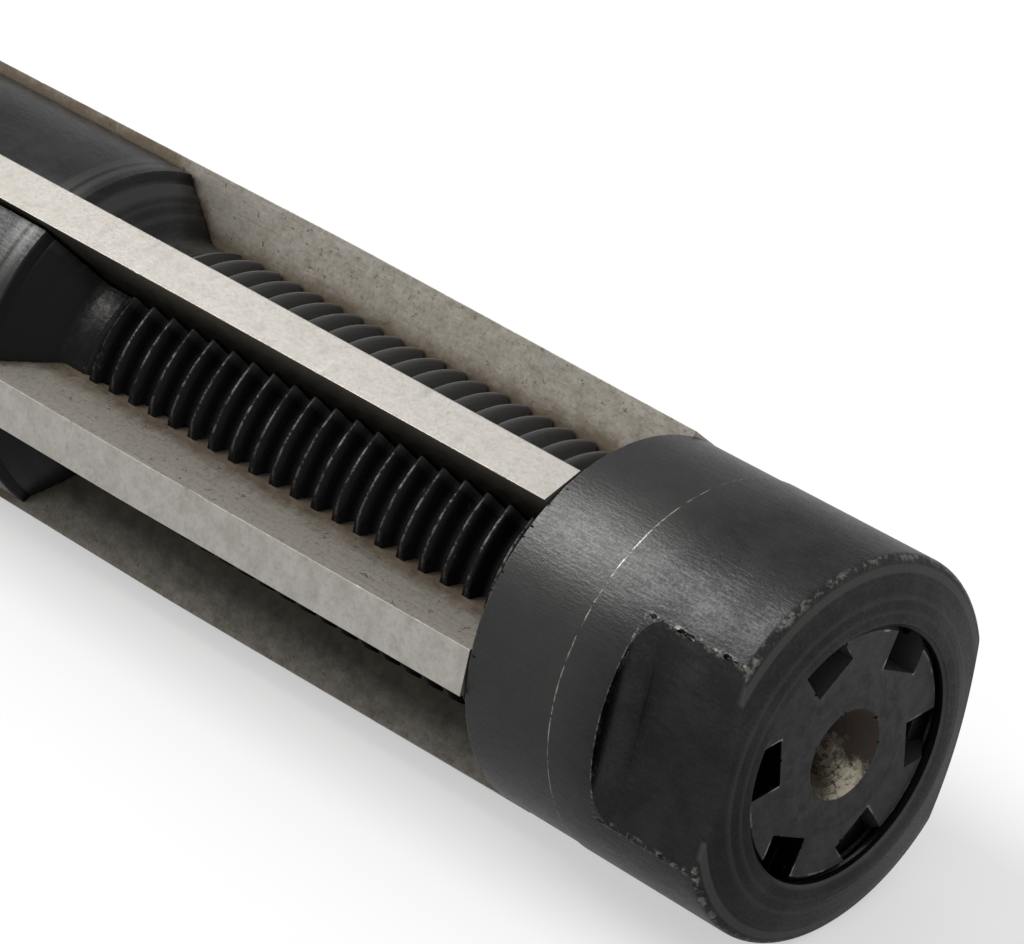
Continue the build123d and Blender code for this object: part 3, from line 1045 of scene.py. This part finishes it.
class REAMER_OT_nuts(bpy.types.Operator):
    """Make the two adjusting nuts, threaded inside and dished for the blades"""

    bl_idname = "reamer.nuts"
    bl_label = "Nuts"

    def execute(self, context):
        sizes = context.scene.reamer_nuts
        thread = context.scene.reamer_thread
        outer = sizes.radius / MM
        outline = nut_outline(outer, outer - sizes.collar_step / MM)
        places = (("front_nut", FRONT_FACE, 1), ("rear_nut", REAR_FACE, -1))
        for number, (node, face, way) in enumerate(places):
            black = nut_finish(node, face, way, context)
            nut = turned(node + "_piece", [(face + way * x, r) for x, r in outline], black, 256)
            cuts = nut_cutters(node, face, way, sizes, thread, black)
            cuts += nut_nicks(node, face, way, sizes, sizes.seed + 6 * number, black)
            combine(nut, cuts, "DIFFERENCE")
            lean = radians(FLAT_ANGLES[node])
            finish_piece(nut, node, 19, [Vector((0, cos(lean), sin(lean)))])
        return {"FINISHED"}


class REAMER_OT_blades(bpy.types.Operator):
    """Make the six ground blades in their slots"""

    bl_idname = "reamer.blades"
    bl_label = "Blades"

    def execute(self, context):
        sizes = context.scene.reamer_blade
        steel = blade_finish(context)
        tree = shared_tree("reamer_blade", blade_tree)
        seat_gap = 0.02
        for number in range(BLADE_COUNT):
            degrees = FIRST_BLADE_ANGLE + number * 360 / BLADE_COUNT
            name = f"blade_{number + 1}"
            piece = run_tree(name + "_piece", tree, {
                "Front": (FRONT_RIM - seat_gap) * MM, "Rear": (REAR_RIM + seat_gap) * MM,
                "Floor": SLOT_FLOOR * MM + sizes.clearance, "Floor Slope": SLOT_SLOPE,
                "Thickness": sizes.thickness, "Setback": sizes.setback, "Cutting Radius": sizes.radius,
                "Relief": sizes.relief, "Lead": sizes.lead, "Lead Drop": sizes.lead_drop,
                "Mouth": sizes.mouth, "Rise": sizes.rise, "Bevel": radians(15), "Angle": radians(degrees),
                "Hone": sizes.hone, "Heel Break": sizes.heel, "Nick": sizes.nick,
                "Seed": number * 3.7 + 1.0, "Material": steel})
            bevel = piece.modifiers.new("Edges", "BEVEL")
            bevel.width = sizes.edge
            bevel.segments = 2
            bevel.angle_limit = radians(50)
            flatten(piece)
            finish_piece(piece, name, 8)
        return {"FINISHED"}


class REAMER_OT_stage(bpy.types.Operator):
    """Make the floor, the light, the world and the camera"""

    bl_idname = "reamer.stage"
    bl_label = "Stage"

    def execute(self, context):
        scene = context.scene
        made = bmesh.new()
        half = 2.0
        corners = [(-half, -half), (half, -half), (half, half), (-half, half)]
        made.faces.new([made.verts.new((x, y, FLOOR_Z * MM)) for x, y in corners])
        object_from("floor", made, floor_finish(context))

        camera = bpy.data.objects.new("camera", bpy.data.cameras.new("camera"))
        scene.collection.objects.link(camera)
        camera.data.sensor_width = 36.0
        camera.data.lens = CAMERA_LENS
        camera.data.clip_start = 0.01
        right, up = Vector(CAMERA_RIGHT), Vector(CAMERA_UP)
        turn = Matrix((right, up, right.cross(up).normalized())).transposed()
        camera.matrix_world = Matrix.Translation(Vector(CAMERA_PLACE) * MM) @ turn.to_4x4()
        scene.camera = camera

        # A large soft lamp above, left of and behind the tool
        lamp = bpy.data.lights.new("softbox", "AREA")
        lamp.energy = 2.6
        lamp.shape = "DISK"
        lamp.size = 0.32
        light = bpy.data.objects.new("softbox", lamp)
        scene.collection.objects.link(light)
        way = Vector((-0.61, -0.19, 0.77)).normalized()
        light.location = Vector((-0.02, 0.0, 0.0)) + way * 0.6
        light.rotation_mode = "QUATERNION"
        light.rotation_quaternion = way.to_track_quat("Z", "Y")

        world = bpy.data.worlds.new("studio")
        scene.world = world
        world.use_nodes = True
        world.node_tree.nodes.clear()
        add = partial(add_node, world.node_tree)
        strength = add(RANGE, seen_directly(add), 0.0, 1.0, 0.7, 1.0)
        sky = add("ShaderNodeBackground", (1.0, 1.0, 1.0, 1.0), strength)
        add("ShaderNodeOutputWorld", sky)

        scene.view_settings.view_transform = "Standard"
        return {"FINISHED"}


def seen_directly(add):
    """1 for rays from the camera and for what metal shows, otherwise 0."""
    rays = add("ShaderNodeLightPath").outputs
    shown = add(LARGER, rays["Is Glossy Ray"], rays["Is Transmission Ray"])
    return add(LARGER, rays["Is Camera Ray"], shown)


def floor_finish(context):
    """Matt white paint of a studio floor.

    It shows half its own light and half plain white, so the background is
    white and the object's shadow stays as a soft one.
    """
    material, add = new_material("matt_white_floor")
    paint = add("ShaderNodeBsdfPrincipled", named={
        "Base Color": context.scene.reamer_finishes.floor, "Roughness": 0.9})
    white = add("ShaderNodeEmission", (1.0, 1.0, 1.0, 1.0), 1.0)
    share = add(TIMES, seen_directly(add), 0.5)
    add("ShaderNodeOutputMaterial", add("ShaderNodeMixShader", share, paint, white))
    return material


class REAMER_PT_panel(bpy.types.Panel):
    bl_label = "Reamer"
    bl_idname = "REAMER_PT_panel"
    bl_space_type = "VIEW_3D"
    bl_region_type = "UI"
    bl_category = "Reamer"

    def draw(self, context):
        for operator in STEPS:
            self.layout.operator(operator.bl_idname)


STEPS = (REAMER_OT_body, REAMER_OT_nuts, REAMER_OT_blades, REAMER_OT_stage)
GROUPS = {
    "reamer_thread": ThreadSizes, "reamer_blade": BladeSizes, "reamer_nuts": NutSizes,
    "reamer_finishes": Finishes}


def register():
    for group in GROUPS.values():
        bpy.utils.register_class(group)
    for kind in (*STEPS, REAMER_PT_panel):
        bpy.utils.register_class(kind)
    for name, group in GROUPS.items():
        setattr(bpy.types.Scene, name, bpy.props.PointerProperty(type=group))


def unregister():
    for name in GROUPS:
        delattr(bpy.types.Scene, name)
    for kind in (REAMER_PT_panel, *reversed(STEPS), *GROUPS.values()):
        bpy.utils.unregister_class(kind)


def main():
    register()
    bpy.ops.reamer.body()
    bpy.ops.reamer.nuts()
    bpy.ops.reamer.blades()
    bpy.ops.reamer.stage()


if __name__ == "__main__":
    main()
